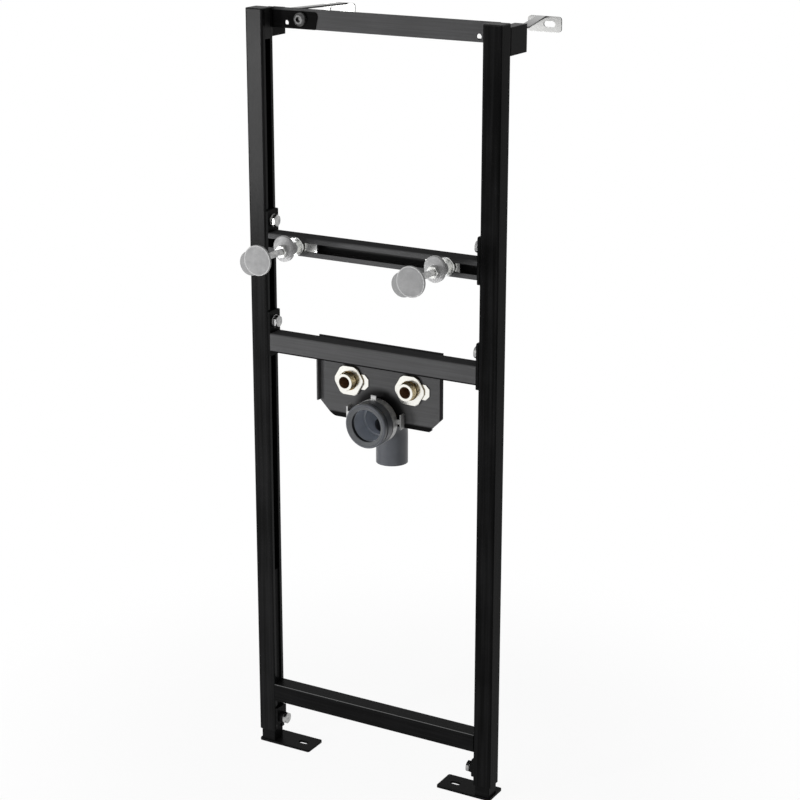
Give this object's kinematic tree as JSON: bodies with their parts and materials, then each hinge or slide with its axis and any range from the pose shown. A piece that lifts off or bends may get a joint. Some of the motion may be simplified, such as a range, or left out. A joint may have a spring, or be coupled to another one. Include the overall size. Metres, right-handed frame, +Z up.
{
  "type": "basin installation frame",
  "caption": "Tall black steel wall frame for hanging a basin: slotted posts on telescopic feet, cross bars, basin rods, water fittings and a waste elbow.",
  "frame": {"origin": "on the floor, midway between the posts, and midway in depth between the caps on the basin rods and the wall", "axes": "+Z up, +X to the right seen from the room, +Y towards the wall"},
  "size_m": [0.427, 0.321, 1.2],
  "materials": {
    "black_paint": "satin black powder coat",
    "grey_paint": "satin dark grey powder coat",
    "black_plastic": "matt black",
    "zinc": "bright zinc plate",
    "dark_zinc": "dark zinc plate",
    "brass": "turned brass",
    "pale_brass": "pale polished brass",
    "grey_plastic": "pale grey moulding",
    "waste_plastic": "dark blue-grey pipe plastic",
    "seal_rubber": "dark rubber"
  },
  "bodies": {
    "frame": {"left_upright": "black_paint", "right_upright": "black_paint", "bottom_bar": "black_paint", "top_joint_plate": "black_paint", "left_service_end_plate": "black_paint", "right_service_end_plate": "black_paint", "left_fixing_end_plate": "black_paint", "right_fixing_end_plate": "black_paint", "left_wall_box": "black_paint", "right_wall_box": "black_paint", "left_lock_plate": "black_paint", "right_lock_plate": "black_paint", "service_bar": "grey_paint", "fixing_rail": "grey_paint", "top_bar": "grey_paint", "service_plate": "grey_paint", "left_end_cap": "black_plastic", "right_end_cap": "black_plastic", "left_service_bolt": "zinc", "right_service_bolt": "zinc", "left_fixing_bolt": "zinc", "right_fixing_bolt": "zinc", "left_lock_bolt": "zinc", "right_lock_bolt": "zinc", "left_wall_strap": "zinc", "right_wall_strap": "zinc", "left_basin_rod": "zinc", "right_basin_rod": "zinc", "left_rail_slider": "zinc", "right_rail_slider": "zinc", "left_rail_nut": "zinc", "right_rail_nut": "zinc", "waste_clamp": "zinc", "top_screw": "dark_zinc", "left_water_elbow": "brass", "right_water_elbow": "brass", "left_water_nut": "pale_brass", "right_water_nut": "pale_brass", "left_bush": "grey_plastic", "right_bush": "grey_plastic", "left_rod_cap": "grey_plastic", "right_rod_cap": "grey_plastic", "waste_elbow": "waste_plastic", "waste_seal": "seal_rubber"},
    "left_leg": {"left_leg": "black_paint"},
    "right_leg": {"right_leg": "black_paint"}
  },
  "joints": [
    {"name": "left_leg_slide", "type": "slide", "parent": "frame", "child": "left_leg", "axis": [0, 0, -1], "range_m": [-0.013, 0.2]},
    {"name": "right_leg_slide", "type": "slide", "parent": "frame", "child": "right_leg", "axis": [0, 0, -1], "range_m": [-0.013, 0.2]}
  ]
}
